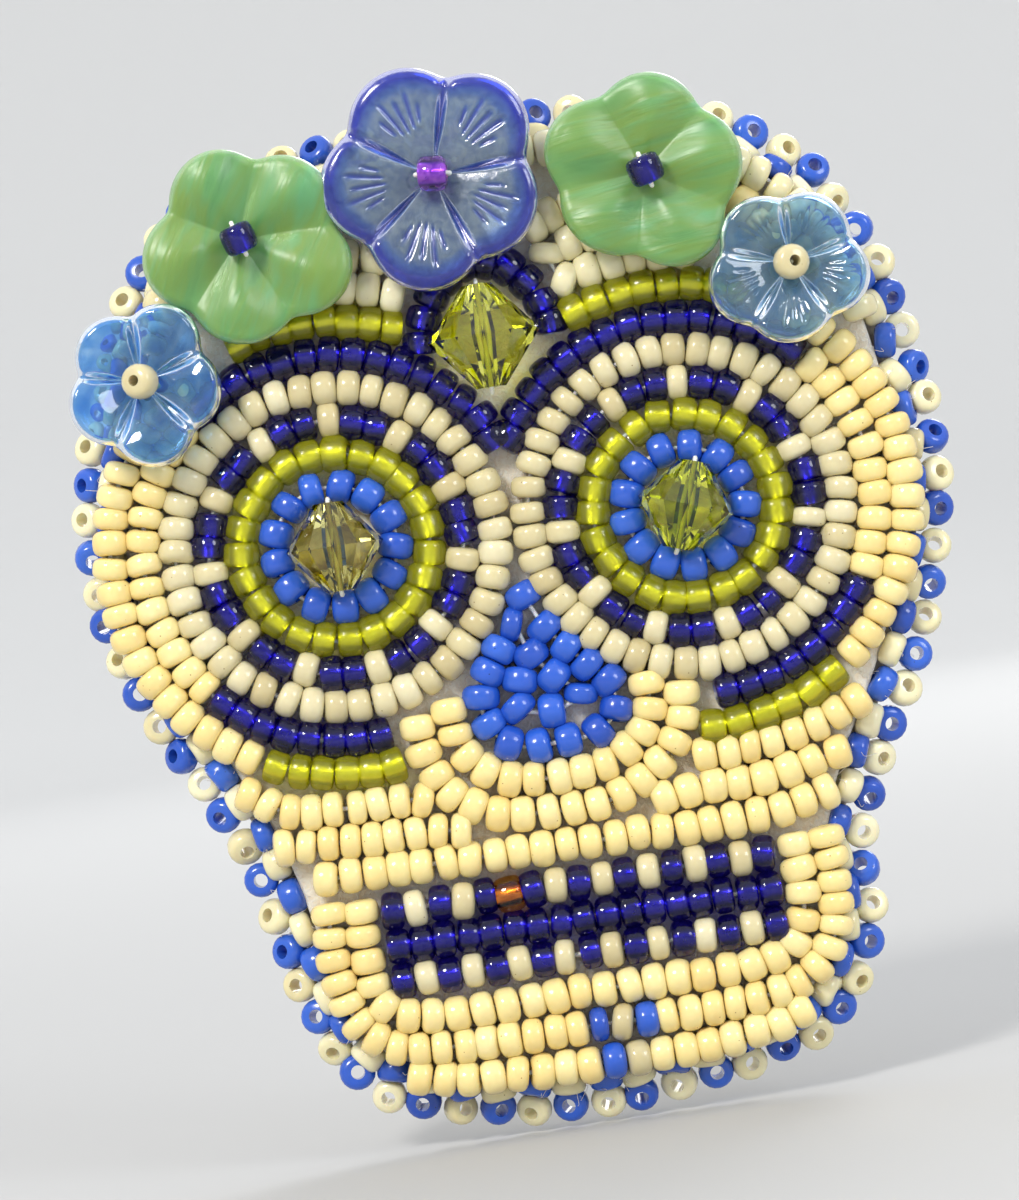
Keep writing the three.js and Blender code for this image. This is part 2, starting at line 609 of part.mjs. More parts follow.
addLayers();
addEdging();
addEye('left', LEFT_EYE, MATERIALS.oliveCrystal, 0);
addEye('right', RIGHT_EYE, MATERIALS.limeCrystal, RIGHT_CRYSTAL_TILT);
addBrow();
addRowsRoundEyes();
addForehead();
addNose();
addCheeks();
addMouth();
addJaw();
addFlowers();
addBarPin();

export default brooch;
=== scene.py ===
"""Looks for the beaded skull brooch: separate glass beads on the rows of the frame, pressed flowers,
faceted crystals, felt, thread, suede and a nickel bar pin."""

import math

import bmesh
import bpy
import numpy as np
from mathutils import Matrix, Vector


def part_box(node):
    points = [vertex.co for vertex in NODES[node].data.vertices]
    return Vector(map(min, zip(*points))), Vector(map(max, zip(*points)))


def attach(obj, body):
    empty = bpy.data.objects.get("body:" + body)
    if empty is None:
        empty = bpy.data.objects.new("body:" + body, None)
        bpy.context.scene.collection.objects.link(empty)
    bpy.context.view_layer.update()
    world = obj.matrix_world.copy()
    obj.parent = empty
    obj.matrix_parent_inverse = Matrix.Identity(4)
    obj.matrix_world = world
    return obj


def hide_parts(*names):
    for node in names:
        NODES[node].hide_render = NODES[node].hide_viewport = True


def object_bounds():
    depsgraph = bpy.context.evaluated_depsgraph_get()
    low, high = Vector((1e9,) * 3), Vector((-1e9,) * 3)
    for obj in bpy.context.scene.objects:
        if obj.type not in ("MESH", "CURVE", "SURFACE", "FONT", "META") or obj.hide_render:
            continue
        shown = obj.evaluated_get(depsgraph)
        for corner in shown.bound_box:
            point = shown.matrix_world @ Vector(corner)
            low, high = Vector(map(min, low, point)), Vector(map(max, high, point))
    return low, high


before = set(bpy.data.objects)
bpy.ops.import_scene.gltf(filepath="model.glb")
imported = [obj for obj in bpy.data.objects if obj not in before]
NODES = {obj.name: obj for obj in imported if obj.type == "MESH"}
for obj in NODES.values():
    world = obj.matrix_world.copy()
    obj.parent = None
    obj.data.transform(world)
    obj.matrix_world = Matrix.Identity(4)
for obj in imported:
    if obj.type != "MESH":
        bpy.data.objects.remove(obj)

CAD_LOW, CAD_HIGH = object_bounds()
MM = 0.001
ROOT = "brooch"
FRONT = np.array((0.0, -1.0, 0.0))
RNG = np.random.default_rng(11)
WELD_DISTANCE = 0.002 * MM

# Seed beads, in metres.
BEAD_RADIUS = 1.18 * MM
COPPER_RADIUS = 1.24 * MM
BEAD_HOLE = 0.36 * MM
LINED_HOLE = 0.52 * MM
BEAD_STEPS = 18
BEAD_OUTLINE_POINTS = 11
BEAD_SHORTEST = 1.40 * MM
BEAD_LONGEST = 1.75 * MM
BEAD_FULLNESS = 2 / 2.8
LINED_FULLNESS = 2 / 3.2
THREAD_RADIUS = 0.15 * MM
STITCH_RADIUS = 0.17 * MM

# The edging beads sit a little nearer to the rows than their solids.
OUTER_EDGE_SHIFT = 0.35 * MM
INNER_EDGE_SHIFT = 0.20 * MM
EDGE_BEAD_RADIUS = 1.16 * MM
EDGE_BEAD_HOLE = 0.46 * MM
OUTER_EDGE_LENGTH = 1.5 * MM
INNER_EDGE_LENGTH = 1.6 * MM

# Pressed flowers.
PETALS = 5
LOBE_BLEND = 18
FLOWER_HOLE = 0.6 * MM
FLOWER_EDGE_START = 0.86
FLOWER_SWELL = 1.05
FLOWER_FRONT_ROWS = 34
FLOWER_EDGE_ROWS = 9
FLOWER_BACK_ROWS = 14
SLANTING_STREAKS = math.radians(62)
LEVEL_STREAKS = 0.10
STOP_BEAD_RADIUS = 1.12 * MM
STOP_BEAD_LENGTH = 1.75 * MM
STOP_STITCH_REACH = 0.93 * MM


# ---------------------------------------------------------------- shader helpers

class Shader:
    """A small builder for one procedural material. Sockets are named with _ for each space."""

    def __init__(self, name, **sockets):
        self.material = bpy.data.materials.new(name)
        self.material.use_nodes = True
        self.tree = self.material.node_tree
        self.principled = self.tree.nodes["Principled BSDF"]
        for socket, value in sockets.items():
            self.principled.inputs[socket.replace("_", " ")].default_value = value

    def add(self, kind, **settings):
        node = self.tree.nodes.new(kind)
        for key, value in settings.items():
            setattr(node, key, value)
        return node

    def link(self, source, target):
        self.tree.links.new(source, target)

    def coords(self, scale=(1, 1, 1), rotation=(0, 0, 0)):
        """Object coordinates in millimetres, turned and then stretched by scale."""
        place = self.add("ShaderNodeTexCoord")
        turned = self.add("ShaderNodeMapping")
        turned.inputs["Rotation"].default_value = rotation
        self.link(place.outputs["Object"], turned.inputs["Vector"])
        stretched = self.add("ShaderNodeMapping")
        stretched.inputs["Scale"].default_value = [1000 * s for s in scale]
        self.link(turned.outputs["Vector"], stretched.inputs["Vector"])
        return stretched.outputs["Vector"]

    def noise(self, scale, detail=3.0, vector=None, distortion=0.0):
        node = self.add("ShaderNodeTexNoise")
        node.inputs["Scale"].default_value = scale
        node.inputs["Detail"].default_value = detail
        node.inputs["Distortion"].default_value = distortion
        self.link(vector or self.coords(), node.inputs["Vector"])
        return node.outputs["Fac"]

    def voronoi(self, scale):
        node = self.add("ShaderNodeTexVoronoi")
        node.inputs["Scale"].default_value = scale
        self.link(self.coords(), node.inputs["Vector"])
        return node.outputs["Distance"]

    def wave(self, scale, distortion, vector):
        node = self.add("ShaderNodeTexWave", bands_direction="X")
        node.inputs["Scale"].default_value = scale
        node.inputs["Distortion"].default_value = distortion
        node.inputs["Detail"].default_value = 2.0
        self.link(vector, node.inputs["Vector"])
        return node.outputs["Fac"]

    def attribute(self, name):
        node = self.add("ShaderNodeAttribute", attribute_name=name)
        return node.outputs["Fac"]

    def ramp(self, source, stops):
        """A colour for each value of the source; a stop is (value, colour)."""
        node = self.add("ShaderNodeValToRGB")
        ramp = node.color_ramp
        while len(ramp.elements) < len(stops):
            ramp.elements.new(0.5)
        for element, (position, colour) in zip(ramp.elements, stops):
            element.position = position
            element.color = (*colour, 1.0)
        self.link(source, node.inputs["Fac"])
        return node.outputs["Color"]

    def mix(self, factor, first, second, blend="MIX"):
        """The first colour with a share, 0 to 1, of the second one mixed or blended in."""
        node = self.add("ShaderNodeMix", data_type="RGBA", blend_type=blend)
        node.inputs[0].default_value = factor
        self.link(first, node.inputs[6])
        self.link(second, node.inputs[7])
        return node.outputs[2]

    def scaled(self, source, low, high):
        node = self.add("ShaderNodeMapRange")
        node.inputs["To Min"].default_value = low
        node.inputs["To Max"].default_value = high
        self.link(source, node.inputs["Value"])
        return node.outputs["Result"]

    def colour(self, source):
        self.link(source, self.principled.inputs["Base Color"])

    def roughness(self, source, low, high):
        self.link(self.scaled(source, low, high), self.principled.inputs["Roughness"])

    def bump(self, source, strength, distance_mm):
        """Adds a bump on top of those that the material already has."""
        node = self.add("ShaderNodeBump")
        node.inputs["Strength"].default_value = strength
        node.inputs["Distance"].default_value = distance_mm * MM
        self.link(source, node.inputs["Height"])
        previous = self.principled.inputs["Normal"]
        if previous.is_linked:
            self.link(previous.links[0].from_socket, node.inputs["Normal"])
        self.link(node.outputs["Normal"], previous)


# ---------------------------------------------------------------- materials

def opaque_glass(name, dark, middle, light, subsurface=0.35, depth=(1.0, 0.75, 0.40)):
    """Glossy opaque bead glass: each bead has its own shade, with faint mottling and tiny pits."""
    shader = Shader(name, Subsurface_Weight=subsurface, Subsurface_Radius=depth,
                    Subsurface_Scale=0.8 * MM, Coat_Weight=0.35, Coat_Roughness=0.08)
    shade = shader.ramp(shader.attribute("bead_shade"), [(0.0, dark), (0.5, middle), (1.0, light)])
    mottle = shader.ramp(shader.noise(0.9), [(0.3, (0.92, 0.90, 0.88)), (0.7, (1.0, 1.0, 1.0))])
    pits = shader.ramp(shader.voronoi(1.1), [(0.035, (0.42, 0.33, 0.22)), (0.06, (1.0, 1.0, 1.0))])
    tinted = shader.mix(1.0, shade, mottle, "MULTIPLY")
    shader.colour(shader.mix(1.0, tinted, pits, "MULTIPLY"))
    shader.roughness(shader.noise(2.5), 0.12, 0.30)
    shader.bump(shader.noise(1.3, 2.0), 0.25, 0.05)
    return shader.material


def clear_glass(name, dark, light, roughness, clear=1.0, bump=0.03):
    """Transparent tinted bead glass, a little milky where it is not fully clear."""
    shader = Shader(name, Transmission_Weight=clear, IOR=1.48, Specular_IOR_Level=0.4)
    shader.colour(shader.ramp(shader.attribute("bead_shade"), [(0.0, dark), (1.0, light)]))
    shader.roughness(shader.noise(2.0), roughness * 0.6, roughness * 1.5 + 0.01)
    shader.bump(shader.noise(1.2, 2.0), 0.3, bump)
    return shader.material


def lining(name, dark, light, roughness):
    """The bright metal that lines the hole of a silver-lined bead."""
    shader = Shader(name, Metallic=1.0)
    streaks = shader.noise(1.4, 4.0, distortion=0.6)
    shader.colour(shader.ramp(streaks, [(0.35, dark), (0.65, light)]))
    shader.roughness(shader.noise(3.0), roughness, roughness + 0.2)
    shader.bump(streaks, 0.5, 0.06)
    return shader.material


def satin_green(name, streak_angle):
    """Frosted pressed glass, marbled in long parallel streaks of yellow-green and teal."""
    shader = Shader(name, Transmission_Weight=0.30, IOR=1.5, Subsurface_Weight=0.35,
                    Subsurface_Radius=(0.6, 1.0, 0.5), Subsurface_Scale=1.2 * MM, Coat_Weight=0.12,
                    Coat_Roughness=0.35)
    along = shader.coords((0.05, 0.30, 0.52), (0, streak_angle, 0))
    streaks = shader.noise(1.0, 4.0, along, 0.5)
    clouds = shader.noise(0.16, 2.0)
    marbled = shader.ramp(streaks, [(0.30, (0.06, 0.23, 0.06)), (0.43, (0.15, 0.40, 0.12)),
                                    (0.53, (0.22, 0.39, 0.07)), (0.68, (0.15, 0.47, 0.20))])
    washed = shader.ramp(clouds, [(0.35, (0.13, 0.36, 0.14)), (0.65, (0.23, 0.34, 0.06))])
    shader.colour(shader.mix(0.35, marbled, washed))
    shader.roughness(streaks, 0.30, 0.44)
    shader.bump(streaks, 0.6, 0.40)
    shader.bump(shader.noise(6.0, 2.0), 0.12, 0.02)
    return shader.material


def inked_sapphire():
    """Clear lilac-grey glass with a lustre, and cobalt in its grooves and round its petals."""
    shader = Shader("sapphire flower glass", Transmission_Weight=0.62, IOR=1.52, Coat_Weight=0.5,
                    Coat_Roughness=0.06, Coat_Tint=(0.92, 0.90, 1.0, 1.0))
    ink = shader.ramp(shader.attribute("ink"), [(0.05, (0.27, 0.37, 0.42)), (0.40, (0.09, 0.19, 0.44)),
                                                (0.95, (0.025, 0.05, 0.46))])
    speckle = shader.ramp(shader.noise(1.6, 6.0, distortion=0.8), [(0.40, (1.0, 1.0, 1.0)),
                                                                   (0.66, (0.50, 0.58, 0.80))])
    shader.colour(shader.mix(1.0, ink, speckle, "MULTIPLY"))
    shader.roughness(shader.noise(2.2, 5.0), 0.03, 0.30)
    shader.bump(shader.noise(1.8, 5.0), 0.35, 0.08)
    return shader.material


def sky_glass(name, clear, tones):
    """Clear light-blue pressed glass with faint blue veils inside."""
    shader = Shader(name, Transmission_Weight=clear, IOR=1.48, Coat_Weight=0.3, Coat_Roughness=0.03)
    veils = shader.noise(0.30, 3.0, distortion=1.8)
    shader.colour(shader.ramp(veils, list(zip((0.36, 0.52, 0.72), tones))))
    shader.roughness(shader.noise(2.0), 0.03, 0.10)
    shader.bump(shader.noise(0.7, 2.0, distortion=0.6), 0.4, 0.12)
    return shader.material


def crystal_glass(name, dark, light):
    """Cut crystal: each facet gets its own random tone between dark and light, painted reflections in place
    of the light its cuts catch, with tiny scratches.
    """
    shader = Shader(name, Transmission_Weight=1.0, IOR=1.62, Specular_IOR_Level=0.40)
    # Painted reflections: each facet's random value picks a tone between dark and light.
    tones = shader.ramp(shader.attribute("painted_facet_glint"), [(0.15, dark), (0.85, light)])
    clouds = shader.ramp(shader.noise(0.8), [(0.35, (0.80, 0.80, 0.70)), (0.65, (1.0, 1.0, 1.0))])
    shader.colour(shader.mix(1.0, tones, clouds, "MULTIPLY"))
    scratches = shader.noise(3.0, 6.0, shader.coords((1.0, 1.0, 6.0)))
    shader.roughness(scratches, 0.0, 0.03)
    shader.bump(scratches, 0.10, 0.01)
    return shader.material


def felt_fibre():
    """Needled white felt: matted fibres at two scales. It is painted warm tan, painted shade and bounce
    light from the cream beads around it.
    """
    shader = Shader("white felt with painted bounce light", Roughness=0.95, Sheen_Weight=0.5, Sheen_Roughness=0.6,
                    Subsurface_Weight=0.6, Subsurface_Radius=(1.0, 0.85, 0.7), Subsurface_Scale=1.5 * MM)
    mat = shader.noise(2.2, 8.0, distortion=1.6)
    # Painted shade and bounce light: the white felt is tinted warm tan throughout.
    shader.colour(shader.ramp(mat, [(0.3, (0.88, 0.74, 0.59)), (0.7, (0.98, 0.91, 0.81))]))
    shader.bump(mat, 0.9, 0.20)
    shader.bump(shader.noise(9.0, 4.0, distortion=2.0), 0.6, 0.06)
    return shader.material


def sewing_thread():
    """White thread with the slant of its plies."""
    shader = Shader("white thread", Roughness=0.6, Subsurface_Weight=0.2, Subsurface_Scale=0.3 * MM)
    plies = shader.wave(3.2, 1.0, shader.coords(rotation=(0.6, 0.6, 0.6)))
    shader.colour(shader.ramp(plies, [(0.2, (0.80, 0.78, 0.74)), (0.8, (0.96, 0.95, 0.93))]))
    shader.bump(plies, 0.5, 0.05)
    return shader.material


def synthetic_suede():
    """Pale suede with a short nap that is brushed lighter and darker in patches."""
    shader = Shader("suede", Roughness=0.92, Sheen_Weight=0.4, Sheen_Roughness=0.5)
    nap = shader.noise(7.0, 6.0, distortion=0.5)
    brushed = shader.noise(0.12, 3.0, distortion=1.2)
    patches = shader.ramp(brushed, [(0.35, (0.54, 0.48, 0.38)), (0.65, (0.61, 0.55, 0.44))])
    fibres = shader.ramp(nap, [(0.3, (0.82, 0.80, 0.77)), (0.7, (1.0, 1.0, 1.0))])
    shader.colour(shader.mix(1.0, patches, fibres, "MULTIPLY"))
    shader.bump(nap, 0.8, 0.10)
    shader.bump(brushed, 0.2, 0.15)
    return shader.material


def grey_card():
    """Pressed card, with its fibres along one direction."""
    shader = Shader("card", Roughness=0.9)
    fibres = shader.noise(1.5, 5.0, shader.coords((0.3, 1.0, 1.6)))
    shader.colour(shader.ramp(fibres, [(0.3, (0.60, 0.56, 0.49)), (0.7, (0.76, 0.73, 0.66))]))
    shader.bump(fibres, 0.4, 0.05)
    return shader.material


def nickel_plate():
    """Bright plating with fine draw lines along the bar and a few duller patches."""
    shader = Shader("nickel plate", Metallic=1.0)
    lines = shader.noise(4.0, 3.0, shader.coords((0.06, 1.5, 1.5)))
    patches = shader.noise(0.25, 3.0)
    shader.colour(shader.ramp(patches, [(0.3, (0.64, 0.62, 0.59)), (0.7, (0.76, 0.75, 0.73))]))
    shader.roughness(lines, 0.14, 0.30)
    shader.bump(lines, 0.08, 0.008)
    return shader.material


# ---------------------------------------------------------------- meshes

def build_mesh(name, vertices, faces, materials, slots=None, shades=None, attribute="bead_shade",
               smooth=True):
    """A mesh object; slots are the material of each face, shades a value for each vertex."""
    mesh = bpy.data.meshes.new(name)
    mesh.from_pydata([tuple(v) for v in vertices], [], [tuple(int(i) for i in f) for f in faces])
    for material in materials:
        mesh.materials.append(material)
    if slots is not None:
        mesh.polygons.foreach_set("material_index", np.array(slots, np.int32))
    mesh.polygons.foreach_set("use_smooth", np.full(len(mesh.polygons), smooth))
    if shades is not None:
        layer = mesh.attributes.new(attribute, "FLOAT", "POINT")
        layer.data.foreach_set("value", np.array(shades, np.float32))
    mesh.update()
    piece = bpy.data.objects.new(name, mesh)
    bpy.context.collection.objects.link(piece)
    return piece


def sharpen(piece, degrees):
    """Keeps edges steeper than this crisp."""
    piece.data.set_sharp_from_angle(angle=math.radians(degrees))


def hand_over(piece, body, node=None):
    """The piece rides on its body and may replace a CAD node."""
    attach(piece, body)
    if node:
        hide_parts(node)
    return piece


def unit(vector):
    """The vector at a length of 1."""
    vector = np.asarray(vector, float)
    return vector / np.linalg.norm(vector)


def turn_to(axis):
    """The rotation matrix that takes +Z to this axis."""
    return np.array(Vector((0, 0, 1)).rotation_difference(Vector(axis)).to_matrix())


def ring_mesh(outline, steps):
    """Turned closed mesh about Z. Returns vertices, quads and a flag for the quads of the hole."""
    angles = np.linspace(0, 2 * math.pi, steps, endpoint=False)
    rows = len(outline)
    vertices = [(r * math.cos(a), r * math.sin(a), h) for r, h in outline for a in angles]
    quads, in_hole = [], []
    for row in range(rows):
        after = (row + 1) % rows
        for k in range(steps):
            n = (k + 1) % steps
            quads.append((row * steps + k, row * steps + n, after * steps + n, after * steps + k))
            in_hole.append(row == rows - 1)
    return np.array(vertices), np.array(quads), np.array(in_hole)


def tubes(name, routes, radius, material, sides=6):
    """One mesh of closed round tubes. A route is a list of points."""
    vertices, faces = [], []
    circle = np.linspace(0, 2 * math.pi, sides, endpoint=False)
    for route in routes:
        route = np.array(route, float)
        start = len(vertices)
        directions = np.gradient(route, axis=0)
        for centre, direction in zip(route, directions):
            frame_axes = turn_to(unit(direction))
            ring = np.stack([radius * np.cos(circle), radius * np.sin(circle), 0 * circle], 1)
            vertices.extend(ring @ frame_axes.T + centre)
        for row in range(len(route) - 1):
            for k in range(sides):
                n = (k + 1) % sides
                a = start + row * sides
                faces.append((a + k, a + n, a + sides + n, a + sides + k))
        last = start + (len(route) - 1) * sides
        faces.append(tuple(start + k for k in reversed(range(sides))))
        faces.append(tuple(last + k for k in range(sides)))
    return build_mesh(name, vertices, faces, [material])


def curve_through(points, steps):
    """A smooth route through the points (Catmull-Rom)."""
    points = np.array(points, float)
    padded = np.vstack([2 * points[0] - points[1], points, 2 * points[-1] - points[-2]])
    route = []
    for a, b, c, d in zip(padded, padded[1:], padded[2:], padded[3:]):
        for t in np.linspace(0, 1, steps, endpoint=False):
            route.append(0.5 * (2 * b + (c - a) * t + (2 * a - 5 * b + 4 * c - d) * t ** 2
                                + (3 * b - a - 3 * c + d) * t ** 3))
    return route + [points[-1]]


# ---------------------------------------------------------------- beads from the frame's rows

# How far the crest of a bead and the front of a neck stand before the middle of their row, at least.
CREST_DEPTH = 0.50 * MM
NECK_DEPTH = 0.15 * MM


def welded(node):
    """Vertices and edges of a CAD node, with the seams between its faces closed."""
    mesh = NODES[node].data
    points = np.array([v.co for v in mesh.vertices], float)
    keys = np.round(points / WELD_DISTANCE).astype(np.int64)
    _, first, inverse = np.unique(keys, axis=0, return_index=True, return_inverse=True)
    inverse = inverse.reshape(-1)
    edges = {tuple(sorted((inverse[e.vertices[0]], inverse[e.vertices[1]]))) for e in mesh.edges}
    return points[first], [edge for edge in edges if edge[0] != edge[1]]


def row_beads(node):
    """(centre, axis, pitch) of each bead of a strung row, in order along the thread.

    Along the front of a row the crests of the beads and the fronts of the thin necks take turns.
    An open row starts at its left end and a closed one at its top, clockwise."""
    points, edges = welded(node)
    depth = points[:, 1]
    middle = (depth.min() + depth.max()) / 2
    crest = depth < middle - CREST_DEPTH
    neck = (depth < middle - NECK_DEPTH) & ~crest
    links = {}
    for a, b in edges:
        if (crest[a] and neck[b]) or (neck[a] and crest[b]):
            links.setdefault(a, []).append(b)
            links.setdefault(b, []).append(a)
    necks = [i for i in links if neck[i]]
    ends = [i for i in necks if len(links[i]) == 1]
    here = min(ends, key=lambda i: points[i][0]) if ends else max(necks, key=lambda i: points[i][2])
    ordered = []
    used = set()
    while True:
        onward = [i for i in links[here] if i not in used]
        if not onward:
            break
        bead = max(onward, key=lambda i: points[i][0])
        used.add(bead)
        there = next(i for i in links[bead] if i != here)
        step = points[there] - points[here]
        pitch = np.linalg.norm(step)
        ordered.append((np.array((points[bead][0], middle, points[bead][2])), step / pitch, pitch))
        here = there
    return ordered


def bead_profile(radius, hole, half, fullness):
    """Half outline of a bead, from one mouth of the hole over the barrel to the other."""
    outline = []
    for angle in np.linspace(-90, 90, BEAD_OUTLINE_POINTS):
        sine = math.sin(math.radians(angle))
        cosine = max(math.cos(math.radians(angle)), 0.0)
        height = half * math.copysign(abs(sine) ** fullness, sine)
        outline.append((hole + (radius - hole) * cosine ** fullness, height))
    return outline


def bead_piece(name, beads, colour, node, radius=BEAD_RADIUS, tilt=4.5, jitter=0.04 * MM,
               hole=BEAD_HOLE):
    """One mesh of loose-fitting beads. A bead is (centre, axis, length)."""
    glass, inner, slot = LOOKS[colour]
    lined = inner is not None
    hole = LINED_HOLE if lined else hole
    fullness = LINED_FULLNESS if lined else BEAD_FULLNESS
    vertices, faces, slots, shades = [], [], [], []
    offset = 0
    for centre, axis, length in beads:
        size = radius * RNG.normal(1.01, 0.025)
        half = 0.5 * np.clip(length, BEAD_SHORTEST, BEAD_LONGEST) * min(RNG.normal(0.98, 0.05), 1.05)
        shape, quads, in_hole = ring_mesh(bead_profile(size, hole, half, fullness), BEAD_STEPS)
        lean = unit(axis + RNG.normal(0, math.radians(tilt), 3))
        vertices.append(shape @ turn_to(lean).T + centre + RNG.normal(0, jitter, 3))
        faces.append(quads + offset)
        slots.append(in_hole.astype(int) if lined else np.zeros(len(quads), int))
        shades.append(np.full(len(shape), np.clip(RNG.normal(0.5, 0.25), 0, 1)))
        offset += len(shape)
    materials = [glass, inner] if lined else [glass]
    piece = build_mesh(name, np.vstack(vertices), np.vstack(faces), materials,
                       np.concatenate(slots), np.concatenate(shades))
    sharpen(piece, 60)
    return hand_over(piece, ROOT, node)


# Glass, lining of the hole and material slot of each colour of bead.
LOOKS = {
    "cream": (opaque_glass("cream bead glass", (0.86, 0.67, 0.27), (0.89, 0.73, 0.32), (0.91, 0.77, 0.38)),
              None, "cream_glass"),
    "ivory": (opaque_glass("ivory bead glass", (0.56, 0.48, 0.26), (0.66, 0.59, 0.35), (0.74, 0.68, 0.45)),
              None, "ivory_glass"),
    "pale": (opaque_glass("pale edging bead glass", (0.74, 0.66, 0.38), (0.82, 0.76, 0.48),
                          (0.88, 0.83, 0.58)), None, "ivory_glass"),
    "blue": (opaque_glass("blue bead glass", (0.014, 0.072, 0.46), (0.020, 0.097, 0.55), (0.030, 0.13, 0.64),
                          0.08, (0.3, 0.5, 1.0)), None, "blue_glass"),
    "cobalt": (clear_glass("cobalt bead glass", (0.007, 0.004, 0.19), (0.016, 0.010, 0.36), 0.02, 0.94),
               lining("cobalt bead lining", (0.40, 0.42, 0.85), (1.0, 1.0, 1.0), 0.20), "cobalt_glass"),
    "lime": (clear_glass("lime bead glass", (0.66, 0.66, 0.01), (0.80, 0.79, 0.03), 0.20, 0.82, 0.006),
             lining("lime bead lining", (0.90, 0.88, 0.50), (1.0, 1.0, 0.85), 0.30), "lime_glass"),
    "copper": (clear_glass("copper bead glass", (0.62, 0.24, 0.03), (0.78, 0.34, 0.06), 0.02),
               lining("copper bead lining", (0.55, 0.24, 0.07), (1.0, 0.74, 0.42), 0.14), "cobalt_glass"),
    "iris": (clear_glass("iris bead glass", (0.36, 0.12, 0.66), (0.50, 0.22, 0.82), 0.03),
             lining("iris bead lining", (0.45, 0.16, 0.75), (1.0, 0.62, 1.0), 0.2), "iris_glass"),
}
WHITE_THREAD = sewing_thread()
NICKEL = nickel_plate()


# ---------------------------------------------------------------- the rows

def all_of(colour):
    """Every bead of the row in one colour."""
    return lambda beads: [colour] * len(beads)


def checker(beads):
    """One ivory bead, then two cobalt ones."""
    return ["cobalt" if i % 3 else "ivory" for i in range(len(beads))]


def teeth(copper=None):
    """Cobalt and ivory in turn. The bead at index copper, if it is given, is the copper one."""
    def colours(beads):
        row = ["ivory" if i % 2 else "cobalt" for i in range(len(beads))]
        if copper is not None:
            row[copper] = "copper"
        return row
    return colours


def marked(marks):
    """Cream, but for the beads nearest to these places, in millimetres along X."""
    def colours(beads):
        row = ["cream"] * len(beads)
        for x, colour in marks:
            nearest = min(range(len(beads)), key=lambda i: abs(beads[i][0][0] - x * MM))
            row[nearest] = colour
        return row
    return colours


def cobalt_below(first_cobalt, cobalt_end):
    """Cream, but cobalt for the run of beads that lies under the eye."""
    def colours(beads):
        return ["cobalt" if first_cobalt <= i < cobalt_end else "cream" for i in range(len(beads))]
    return colours


ROW_COLOURS = {
    "brow_cobalt_row": all_of("cobalt"),
    "forehead_cobalt_arch": all_of("cobalt"),
    "mouth_middle_row": all_of("cobalt"),
    "nose_beads": all_of("blue"),
    "upper_teeth_row": teeth(copper=5),
    "lower_teeth_row": teeth(),
    "jaw_outer_row": marked([(1.1, "blue"), (2.6, "ivory"), (4.0, "blue")]),
    "chin_row": marked([(1.8, "blue"), (3.4, "ivory")]),
    "left_eye_outer_row": cobalt_below(13, 21),
    "right_eye_outer_row": cobalt_below(0, 8),
}
for side in ("left", "right"):
    ROW_COLOURS[f"{side}_eye_blue_ring"] = all_of("blue")
    ROW_COLOURS[f"{side}_eye_lime_ring"] = all_of("lime")
    ROW_COLOURS[f"{side}_eye_checker_ring"] = checker
    ROW_COLOURS[f"{side}_eye_ivory_ring"] = all_of("ivory")
    ROW_COLOURS[f"{side}_under_eye_lime_row"] = all_of("lime")
    ROW_COLOURS[f"{side}_brow_lime_row"] = all_of("lime")
CREAM_ROWS = [
    "left_temple_outer_row", "right_temple_outer_row", "right_crown_row", "nose_wrap_inner_row",
    "nose_wrap_outer_row", "left_cheek_upper_row", "left_cheek_lower_row", "right_cheek_upper_row",
    "right_cheek_lower_row", "upper_lip_row", "jaw_inner_row",
]
for row in CREAM_ROWS:
    ROW_COLOURS[row] = all_of("cream")
for row in ("left_forehead_rows", "right_forehead_rows", "crown_row"):
    ROW_COLOURS[row] = all_of("pale")


def build_rows():
    """Each row's beads, one piece for each colour, and the thread they are strung on."""
    for node, colours_of in ROW_COLOURS.items():
        beads = row_beads(node)
        colours = colours_of(beads)
        for colour in sorted(set(colours)):
            chosen = [bead for bead, own in zip(beads, colours) if own == colour]
            radius = BEAD_RADIUS
            if colour == "copper":
                radius = COPPER_RADIUS
                chosen = [(centre, axis, BEAD_LONGEST) for centre, axis, _ in chosen]
            bead_piece(f"{node}_{colour}_beads", chosen, colour, node, radius)
        centres = [bead[0] for bead in beads]
        if "ring" in node:
            centres.append(centres[0])
        strand = tubes(f"{node}_thread", [curve_through(centres, 3)], THREAD_RADIUS, WHITE_THREAD)
        hand_over(strand, ROOT)


def outward_of(centre, along):
    """The direction in the face plane that points away from the middle of the face."""
    outward = unit(np.cross(along, FRONT))
    return outward if np.dot(outward, centre) > 0 else -outward


def build_edging():
    """Picot pairs: the inner bead points outwards, the outer one shows its hole to the front."""
    outer, inner = [], []
    for centre, along, _ in row_beads("edging_outer_row"):
        outward = outward_of(centre, along)
        lean = unit(FRONT + RNG.normal(0.30, 0.22) * outward + RNG.normal(0, 0.22) * along)
        outer.append((centre - OUTER_EDGE_SHIFT * outward, lean, OUTER_EDGE_LENGTH))
    for centre, along, _ in row_beads("edging_inner_row"):
        outward = outward_of(centre, along)
        inner.append((centre - INNER_EDGE_SHIFT * outward, outward, INNER_EDGE_LENGTH))
    for node, beads, first, second in (("edging_inner_row", inner, "blue", "pale"),
                                       ("edging_outer_row", outer, "pale", "blue")):
        for start, colour in ((0, first), (1, second)):
            bead_piece(f"{node}_{colour}_beads", beads[start::2], colour, node, EDGE_BEAD_RADIUS,
                       tilt=9, jitter=0.09 * MM, hole=EDGE_BEAD_HOLE)
    return inner


# ---------------------------------------------------------------- flowers

def box_of(node):
    """Middle, low and high corner of a CAD node's box."""
    low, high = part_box(node)
    low, high = np.array(low), np.array(high)
    return (low + high) / 2, low, high


